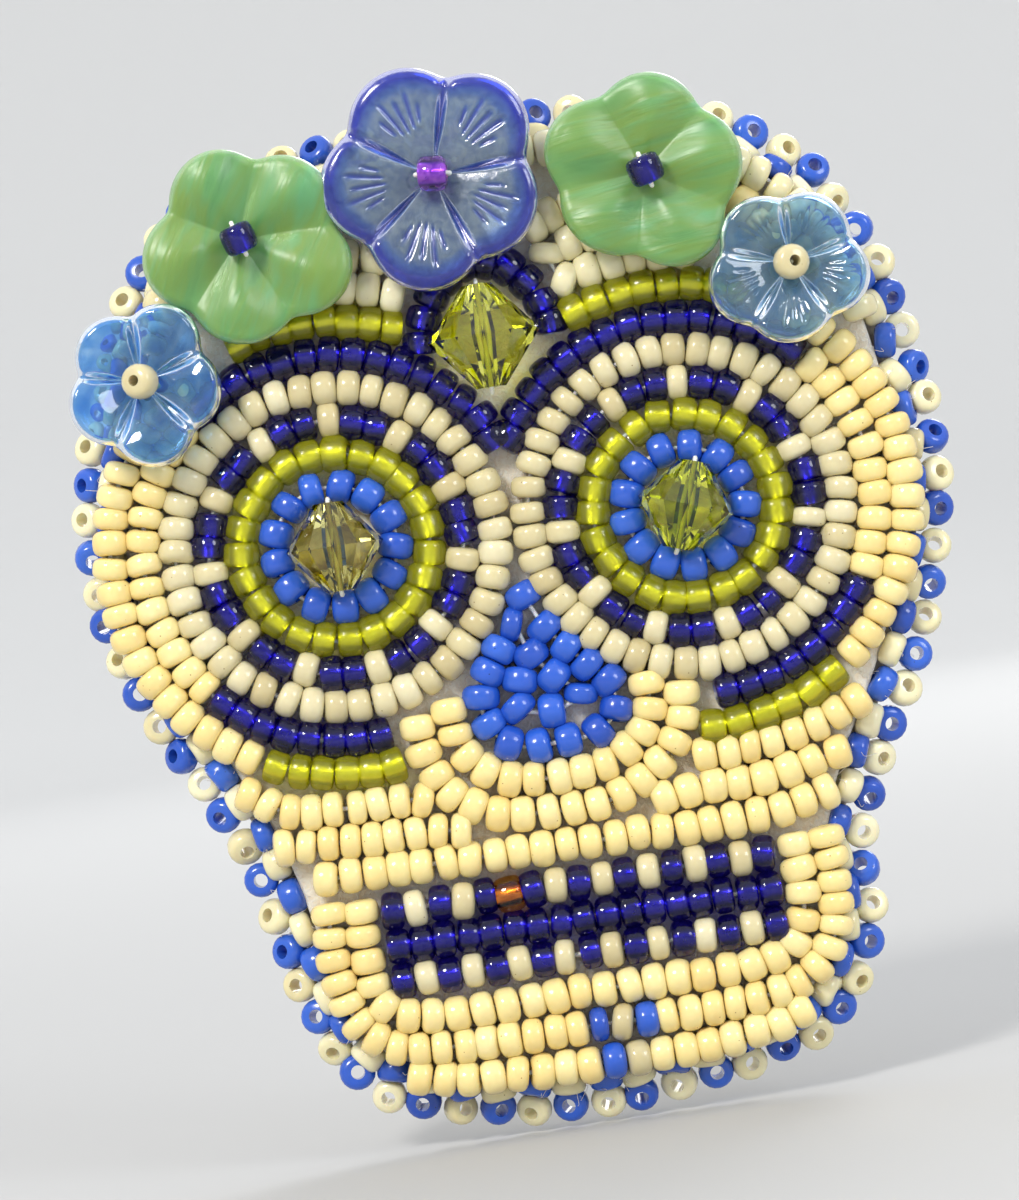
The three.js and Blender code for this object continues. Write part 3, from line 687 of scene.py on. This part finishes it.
def petal_rim(degrees, lobe_radius):
    """How far the rim of a flower reaches, for a radius of 1: five round lobes, softly joined."""
    lobe_offset = 1 - lobe_radius
    reach = np.zeros_like(degrees)
    for petal in range(PETALS):
        angle = np.radians(degrees - petal * 360 / PETALS)
        inside = lobe_radius ** 2 - (lobe_offset * np.sin(angle)) ** 2
        lobe = lobe_offset * np.cos(angle) + np.sqrt(np.clip(inside, 0, None))
        reach += np.where((inside > 0) & (np.cos(angle) > 0), np.clip(lobe, 0, None), 0) ** LOBE_BLEND
    return reach ** (1 / LOBE_BLEND)


def across_petal(degrees):
    """-1 to 1 from one valley over the middle of a petal to the next valley."""
    width = 360 / PETALS
    return ((degrees + width / 2) % width - width / 2) / (width / 2)


def fan_lines(across, along):
    """Depth, 0 to 1, of the five strokes that are pressed into each petal."""
    depth = np.zeros_like(across)
    for place, start, end in ((-0.50, 0.42, 0.66), (-0.26, 0.36, 0.80), (0.0, 0.34, 0.74),
                              (0.26, 0.36, 0.82), (0.50, 0.42, 0.68)):
        spread = place * (0.55 + 0.6 * along)
        stroke = np.exp(-((across - spread) / 0.055) ** 2)
        ends = np.clip((along - start) / 0.06, 0, 1) * np.clip((end - along) / 0.08, 0, 1)
        depth = np.maximum(depth, stroke * ends)
    return depth


def flower(name, material, pillow, groove, cup=1.15 * MM, lobe=0.50, valley_width=0.13,
           softness=0.0, lines=0.0, steps=240, wobble=0.0, lean=(0.0, 0.0)):
    """A pressed-glass flower in the place of its CAD node: domed petals about a centre hole.

    The cup is how far the rim stands before the middle; softness rounds the creases off; lean moves
    the rim off the hole, to the right and up."""
    node = f"{name}_flower"
    centre, _, _ = box_of(f"{name}_stop_bead")
    points, _ = welded(node)
    flat = points - centre
    reach = np.hypot(flat[:, 0], flat[:, 2])
    tip = flat[np.argmax(reach)]
    radius = reach.max()
    tip_angle = math.degrees(math.atan2(tip[2], tip[0]))
    back = points[:, 1].max()
    middle_depth = back - points[reach < 1.2 * FLOWER_HOLE][:, 1].min()

    degrees = np.linspace(0, 360, steps, endpoint=False)
    across = across_petal(degrees)
    uneven = 1 + wobble * np.sin(np.radians(2 * degrees + 40))
    uneven = uneven + 0.6 * wobble * np.cos(np.radians(3 * degrees))
    rim = FLOWER_SWELL * radius * petal_rim(degrees, lobe) * uneven / uneven.max()
    hill = (1 - softness) * np.clip(1 - np.abs(across) ** 2.2, 0, 1)
    hill += softness * (0.5 + 0.5 * np.cos(math.pi * across))
    valley = np.exp(-((1 - np.abs(across)) / valley_width) ** 2)

    def front(along):
        dome = np.sin(math.pi * min(along / 1.02, 1) ** 1.3) ** 0.8
        height = middle_depth + cup * along ** 1.5 + pillow * dome * hill
        height = height - groove * valley * min(1.0, 2.5 * along) * (1.1 - along ** 3)
        return height - lines * fan_lines(across, np.full_like(across, along))

    def rear(along):
        return np.full_like(across, 1.35 * MM * min(max((along - 0.3) / 0.56, 0), 1) ** 1.5)

    rows = []
    inks = []
    for along in np.linspace(0, FLOWER_EDGE_START, FLOWER_FRONT_ROWS):
        rows.append((along, front(along)))
        edge = np.clip((along - 0.70) / 0.16, 0, 1)
        inks.append(np.maximum.reduce([0.9 * valley * min(1, 3 * along), 0.75 * edge + 0 * across,
                                       0.8 * fan_lines(across, np.full_like(across, along))]))
    top, bottom = front(FLOWER_EDGE_START), rear(FLOWER_EDGE_START)
    for angle in np.radians(np.linspace(75, -75, FLOWER_EDGE_ROWS)):
        along = FLOWER_EDGE_START + (1 - FLOWER_EDGE_START) * math.cos(angle)
        rows.append((along, (top + bottom) / 2 + (top - bottom) / 2 * math.sin(angle)))
        inks.append(np.ones_like(across))
    for along in np.linspace(FLOWER_EDGE_START, 0, FLOWER_BACK_ROWS):
        rows.append((along, rear(along)))
        inks.append(np.full_like(across, 0.4))

    turn = np.radians(degrees + tip_angle)
    vertices = []
    for along, height in rows:
        distance = FLOWER_HOLE + (rim - FLOWER_HOLE) * along
        x = centre[0] + distance * np.cos(turn) + lean[0] * along
        z = centre[2] + distance * np.sin(turn) + lean[1] * along
        vertices.extend(np.stack([x, back - height, z], 1))
    faces = []
    for row in range(len(rows)):
        after = (row + 1) % len(rows)
        for k in range(steps):
            n = (k + 1) % steps
            faces.append((row * steps + k, row * steps + n, after * steps + n, after * steps + k))
    piece = build_mesh(f"{name}_pressed_flower", vertices, faces, [material], None,
                       np.concatenate(inks), "ink")
    return hand_over(piece, ROOT, node)


def stop_bead(name, colour, axis):
    """The bead that holds a flower on, and the stitch that runs through it into the flower."""
    node = f"{name}_stop_bead"
    centre, _, high = box_of(node)
    axis = unit(axis)
    bead_piece(f"{name}_stop_{colour}_bead", [(centre, axis, STOP_BEAD_LENGTH)], colour, node,
               STOP_BEAD_RADIUS, tilt=0.0, jitter=0.0)
    depth = np.array((0, high[1] - centre[1] + 0.6 * MM, 0))
    if abs(axis[1]) > 0.5:
        route = [centre - 0.5 * MM * axis, centre, centre + depth]
    else:
        end = STOP_STITCH_REACH * axis
        route = [centre + depth, centre + end + 0.4 * depth, centre + end, centre - end,
                 centre - end + 0.4 * depth, centre + depth]
    stitch = tubes(f"{name}_stitch", [curve_through(route, 5)], THREAD_RADIUS, WHITE_THREAD)
    hand_over(stitch, ROOT)


def build_flowers():
    """Five flowers along the crown, each with its stop bead."""
    sky = sky_glass("sky flower glass", 0.84, ((0.06, 0.27, 0.74), (0.15, 0.42, 0.82), (0.36, 0.62, 0.90)))
    pale_sky = sky_glass("pale sky flower glass", 0.86,
                         ((0.14, 0.36, 0.70), (0.26, 0.48, 0.68), (0.42, 0.60, 0.74)))
    flower("left_sky", sky, 0.75 * MM, 0.50 * MM, lobe=0.50, wobble=0.03,
           lean=(0.20 * MM, -0.20 * MM))
    flower("right_sky", pale_sky, 0.50 * MM, 0.40 * MM, lobe=0.53, lines=0.08 * MM, wobble=0.03,
           lean=(-0.25 * MM, -0.20 * MM))
    slanting = satin_green("green flower glass, slanting streaks", SLANTING_STREAKS)
    level = satin_green("green flower glass, level streaks", LEVEL_STREAKS)
    flower("left_green", slanting, 1.00 * MM, 0.10 * MM, 0.45 * MM, lobe=0.50,
           valley_width=0.22, softness=0.7, wobble=0.03, lean=(0.50 * MM, -0.40 * MM))
    flower("right_green", level, 0.80 * MM, 0.08 * MM, 0.45 * MM, lobe=0.53,
           valley_width=0.22, softness=0.8, wobble=0.035)
    flower("centre_sapphire", inked_sapphire(), 0.40 * MM, 0.50 * MM, 0.9 * MM,
           lobe=0.51, valley_width=0.10, lines=0.16 * MM, steps=420, wobble=0.02)
    stop_bead("left_sky", "ivory", (-0.45, -1.0, 0.1))
    stop_bead("right_sky", "ivory", (0.25, -1.0, 0.0))
    stop_bead("left_green", "cobalt", (-0.30, -0.15, 1.0))
    stop_bead("right_green", "cobalt", (-0.28, -0.15, 1.0))
    stop_bead("centre_sapphire", "iris", (1.0, -0.1, -0.10))


# ---------------------------------------------------------------- crystals

CRYSTAL_FACETS = 6
CRYSTAL_BORE = 0.42 * MM
CRYSTAL_TABLE = 0.95 * MM
CRYSTAL_SQUAT = 0.95
CRYSTAL_STITCH_SAG = 1.8 * MM


def crystal(node, material):
    """A cut bicone: between each end and the girdle run long triangles in pairs and single ones."""
    points, _ = welded(node)
    centre, _, _ = box_of(node)
    away = points - centre
    reach = np.linalg.norm(away, axis=1)
    ends = away[reach > 0.98 * reach.max()]
    axis = unit(ends[ends[:, 2] > 0].mean(0) - ends[ends[:, 2] < 0].mean(0))
    half = CRYSTAL_SQUAT * np.abs(away @ axis).max()
    radius = np.linalg.norm(away - np.outer(away @ axis, axis), axis=1).max() / CRYSTAL_SQUAT

    def ring(distance, height, count, turn=0.0):
        angles = 2 * math.pi * (np.arange(count) + turn) / count
        return [(distance * math.cos(a), distance * math.sin(a), height) for a in angles]

    count = CRYSTAL_FACETS
    table = CRYSTAL_TABLE
    lower, upper = ring(table, -half, count), ring(table, half, count)
    girdle = ring(radius, 0.0, 2 * count)
    bore_low, bore_high = ring(CRYSTAL_BORE, -half, count), ring(CRYSTAL_BORE, half, count)
    vertices = lower + upper + girdle + bore_low + bore_high
    low_at, high_at, girdle_at, bore_at, bore_top = 0, count, 2 * count, 4 * count, 5 * count
    faces = []
    for k in range(count):
        n = (k + 1) % count
        before, here, after = ((2 * k - 1) % (2 * count), 2 * k, 2 * k + 1)
        for end, flip in ((low_at, True), (high_at, False)):
            trio = [(end + k, girdle_at + before, girdle_at + here),
                    (end + k, girdle_at + here, girdle_at + after),
                    (end + k, girdle_at + after, end + n)]
            faces += [face[::-1] for face in trio] if flip else trio
        faces.append((high_at + k, high_at + n, bore_top + n, bore_top + k))
        faces.append((bore_top + k, bore_top + n, bore_at + n, bore_at + k))
        faces.append((bore_at + k, bore_at + n, low_at + n, low_at + k))
    vertices = np.array(vertices) @ turn_to(axis).T + centre
    piece = build_mesh(f"{node}_cut", vertices, faces, [material], smooth=False)
    # Painted reflections: a random value for each facet, which the crystal material turns into a lighter or
    # darker tone.
    painted_glints = piece.data.attributes.new("painted_facet_glint", "FLOAT", "FACE")
    painted_glints.data.foreach_set("value", RNG.random(len(faces)).astype(np.float32))
    hand_over(piece, ROOT, node)
    span = (half + 0.2 * MM) * axis
    sag = np.array((0, CRYSTAL_STITCH_SAG, 0))
    stops = [centre - span + sag, centre - half * axis, centre, centre + half * axis, centre + span + sag]
    stitch = tubes(f"{node}_stitch", [curve_through(stops, 6)], THREAD_RADIUS, WHITE_THREAD)
    hand_over(stitch, ROOT)


def build_crystals():
    """One crystal in the forehead and one in each eye."""
    # Dark and light are the ends of each crystal's painted facet reflections.
    lime = crystal_glass("lime crystal", (0.80, 0.84, 0.0), (1.0, 1.0, 0.20))
    olive = crystal_glass("olive crystal", (0.30, 0.23, 0.0), (1.0, 0.95, 0.36))
    deep_lime = crystal_glass("deep lime crystal", (0.20, 0.26, 0.0), (0.94, 0.98, 0.05))
    crystal("forehead_crystal", lime)
    crystal("left_eye_crystal", olive)
    crystal("right_eye_crystal", deep_lime)


# ---------------------------------------------------------------- felt, backing and pin

SHARP_DEGREES = 32
BEVEL_SEGMENTS = 3
FIBRES_PER_BEAD = 9
FIBRE_RADIUS = 0.018 * MM
PIN_HOLES_X = (-7.5 * MM, 0.0, 7.5 * MM)
PIN_STRANDS = (-0.34 * MM, 0.0, 0.34 * MM)
PIN_PLATE_FRONT = 0.85 * MM


def refined(node, body, material, bevel):
    """A copy of a CAD node with its seams closed, its round sides smooth and its edges eased."""
    mesh = bmesh.new()
    mesh.from_mesh(NODES[node].data)
    bmesh.ops.remove_doubles(mesh, verts=mesh.verts, dist=WELD_DISTANCE)
    bmesh.ops.dissolve_limit(mesh, angle_limit=math.radians(1), verts=mesh.verts, edges=mesh.edges)
    data = bpy.data.meshes.new(f"{node}_fine")
    mesh.to_mesh(data)
    mesh.free()
    data.materials.append(material)
    data.polygons.foreach_set("use_smooth", np.ones(len(data.polygons), bool))
    piece = bpy.data.objects.new(f"{node}_fine", data)
    bpy.context.collection.objects.link(piece)
    sharpen(piece, SHARP_DEGREES)
    ease = piece.modifiers.new("eased edges", "BEVEL")
    ease.width = bevel
    ease.segments = BEVEL_SEGMENTS
    ease.limit_method = "ANGLE"
    ease.angle_limit = math.radians(SHARP_DEGREES)
    ease.harden_normals = True
    return hand_over(piece, body, node)


def felt_fuzz(edge_beads, material):
    """Loose fibres that stand out between the edging beads and at the rim of the felt."""
    routes = []
    for centre, outward, _ in edge_beads:
        for _ in range(FIBRES_PER_BEAD):
            start = centre + outward * RNG.uniform(-1.6, 0.2) * MM + RNG.normal(0, 0.5, 3) * MM
            start[1] = centre[1] + RNG.uniform(-1.2, 0.6) * MM
            end = start + (outward * RNG.uniform(0.1, 0.7) + RNG.normal(0, 0.4, 3)) * MM
            bend = (start + end) / 2 + RNG.normal(0, 0.22, 3) * MM
            routes.append(curve_through([start, bend, end], 3))
    fuzz = tubes("felt_fuzz", routes, FIBRE_RADIUS, material, sides=4)
    hand_over(fuzz, ROOT)


def edge_stitches(edge_beads):
    """A stitch from each inner edging bead round the edge of the backing into its back."""
    _, low, high = box_of("suede_backing")
    back = high[1]
    front = low[1]
    routes = []
    for centre, outward, _ in edge_beads:
        def at(distance, y):
            point = centre + distance * MM * outward
            point[1] = y
            return point
        stops = [at(0.0, centre[1] + 0.4 * MM), at(0.85, front), at(0.85, back - 0.1 * MM),
                 at(0.35, back + 0.16 * MM), at(-0.75, back + 0.10 * MM), at(-1.0, back - 0.35 * MM)]
        routes.append(curve_through(stops, 4))
    stitches = tubes("edge_stitches", routes, STITCH_RADIUS, WHITE_THREAD)
    hand_over(stitches, ROOT)


def pin_stitches():
    """Three bundles of thread that sew the bar down through its holes."""
    centre, low, high = box_of("pin_bar")
    backing = box_of("suede_backing")[2][1]
    plate = backing + PIN_PLATE_FRONT
    half_width = (high[2] - low[2]) / 2
    routes = []
    for x in PIN_HOLES_X:
        for side in (-1, 1):
            for strand in PIN_STRANDS:
                shift = x + strand
                def at(reach, y):
                    return np.array((shift, y, centre[2] + side * reach))
                stops = [at(0.1 * MM, backing + 0.1 * MM), at(0.25 * MM, plate + 0.12 * MM),
                         at(half_width * 0.6, plate + 0.2 * MM),
                         at(half_width + 0.1 * MM, plate + 0.05 * MM),
                         at(half_width + 0.45 * MM, backing - 0.2 * MM)]
                routes.append(curve_through(stops, 4))
    bundle = tubes("pin_stitches", routes, STITCH_RADIUS, WHITE_THREAD)
    hand_over(bundle, ROOT)


def build_layers(edge_beads):
    """Felt, stiffener and backing, with the fuzz and the stitches round their edge."""
    felt = felt_fibre()
    refined("felt_foundation", ROOT, felt, 0.3 * MM)
    refined("stiffener", ROOT, grey_card(), 0.1 * MM)
    refined("suede_backing", ROOT, synthetic_suede(), 0.25 * MM)
    felt_fuzz(edge_beads, felt)
    edge_stitches(edge_beads)


def build_pin():
    """The bar pin with its stem and roller, sewn to the backing."""
    refined("pin_bar", ROOT, NICKEL, 0.12 * MM)
    refined("hinge_rivet", ROOT, NICKEL, 0.08 * MM)
    refined("catch_housing", ROOT, NICKEL, 0.10 * MM)
    refined("pin_stem", "stem", NICKEL, 0.05 * MM)
    refined("catch_roller", "roller", NICKEL, 0.07 * MM)
    pin_stitches()


# ---------------------------------------------------------------- camera, floor and light

VIEW_ROLL = math.radians(8.8)
VIEW_HEIGHT = 77.4 * MM
VIEW_DISTANCE = 0.27
FLOOR_RADIUS = 0.9
FLOOR_CURVE = 0.4
WALL_TOP = 0.7
STUDIO_STEPS = 64
# Painted shade and light on the floor: darker near the brooch, where the lamps light it strongly, and
# lighter far out, where they light it weakly.
NEAR_PAINTED_SHADE_MM = 100.0
FAR_PAINTED_LIGHT_MM = 1000.0
NEAR_PAINTED_SHADE = (0.46, 0.46, 0.455)
FAR_PAINTED_LIGHT = (0.72, 0.72, 0.71)


def add_camera():
    """Straight at the face, turned about the line of sight so that the crown leans to one side."""
    middle = (CAD_LOW + CAD_HIGH) / 2
    row_depth = box_of("mouth_middle_row")[0][1]
    target = Vector((middle.x - 1.2 * MM, row_depth, middle.z - 0.1 * MM))
    data = bpy.data.cameras.new("camera")
    data.lens = 50
    data.sensor_fit = "AUTO"
    data.sensor_width = data.lens * VIEW_HEIGHT / VIEW_DISTANCE
    camera = bpy.data.objects.new("camera", data)
    bpy.context.collection.objects.link(camera)
    right = Vector((math.cos(VIEW_ROLL), 0, -math.sin(VIEW_ROLL)))
    up = Vector((math.sin(VIEW_ROLL), 0, math.cos(VIEW_ROLL)))
    turn = Matrix((right, up, Vector((0, -1, 0)))).transposed()
    camera.matrix_world = Matrix.Translation(target + Vector((0, -VIEW_DISTANCE, 0))) @ turn.to_4x4()
    data.clip_start = 0.001
    bpy.context.scene.camera = camera


def add_area_light(name, place, size, power, colour=(1, 1, 1)):
    """A round lamp that points at the brooch."""
    data = bpy.data.lights.new(name, "AREA")
    data.shape = "DISK"
    data.size = size
    data.energy = power
    data.color = colour
    lamp = bpy.data.objects.new(name, data)
    lamp.location = place
    lamp.rotation_euler = (-Vector(place)).to_track_quat("-Z", "Y").to_euler()
    bpy.context.collection.objects.link(lamp)


def add_studio():
    """A pale floor that curves up into a round wall, open above, and soft lamps. The floor is painted darker
    near the brooch and lighter far out: painted shade where the lamps fall strongly and painted light where
    they fall weakly.
    """
    ground = CAD_LOW.z - 0.3 * MM
    rings = [(FLOOR_RADIUS, 0.0)]
    for angle in np.linspace(0.15, math.pi / 2, 10):
        reach = FLOOR_RADIUS + FLOOR_CURVE * math.sin(angle)
        rings.append((reach, FLOOR_CURVE - FLOOR_CURVE * math.cos(angle)))
    rings.append((FLOOR_RADIUS + FLOOR_CURVE, WALL_TOP))
    steps = STUDIO_STEPS
    around = np.linspace(0, 2 * math.pi, steps, endpoint=False)
    vertices = [(r * math.cos(a), r * math.sin(a), ground + h) for r, h in rings for a in around]
    faces = [tuple(range(steps))]
    for row in range(len(rings) - 1):
        for k in range(steps):
            n = (k + 1) % steps
            faces.append((row * steps + n, row * steps + k, (row + 1) * steps + k, (row + 1) * steps + n))
    # Painted shade and light: the floor's tone grows from dark near the middle to light far out, against the
    # fall-off of the lamps.
    shader = Shader("pale floor with painted shade", Roughness=0.9)
    distance = shader.add("ShaderNodeVectorMath", operation="LENGTH")
    shader.link(shader.coords(), distance.inputs[0])
    painted_shade_sweep = shader.add("ShaderNodeMapRange")
    painted_shade_sweep.inputs["From Min"].default_value = NEAR_PAINTED_SHADE_MM
    painted_shade_sweep.inputs["From Max"].default_value = FAR_PAINTED_LIGHT_MM
    shader.link(distance.outputs["Value"], painted_shade_sweep.inputs["Value"])
    shader.colour(shader.ramp(painted_shade_sweep.outputs["Result"], [(0.0, NEAR_PAINTED_SHADE), (1.0, FAR_PAINTED_LIGHT)]))
    shader.bump(shader.noise(0.02), 0.1, 0.5)
    floor = build_mesh("floor", vertices, faces, [shader.material])
    add_area_light("key", (-0.32, -0.60, 0.46), 0.20, 4.6, (1.0, 0.97, 0.92))
    add_area_light("fill", (0.55, -0.55, 0.32), 0.30, 1.8, (0.93, 0.96, 1.0))
    add_area_light("back", (0.30, 0.62, 0.50), 0.40, 2.5)
    world = bpy.data.worlds.new("world")
    world.use_nodes = True
    world.node_tree.nodes["Background"].inputs["Color"].default_value = (0.86, 0.88, 0.92, 1)
    world.node_tree.nodes["Background"].inputs["Strength"].default_value = 1.1
    bpy.context.scene.world = world
    bpy.context.scene.view_settings.view_transform = "Standard"


add_camera()
add_studio()
build_rows()
edge_beads = build_edging()
build_flowers()
build_crystals()
build_layers(edge_beads)
build_pin()
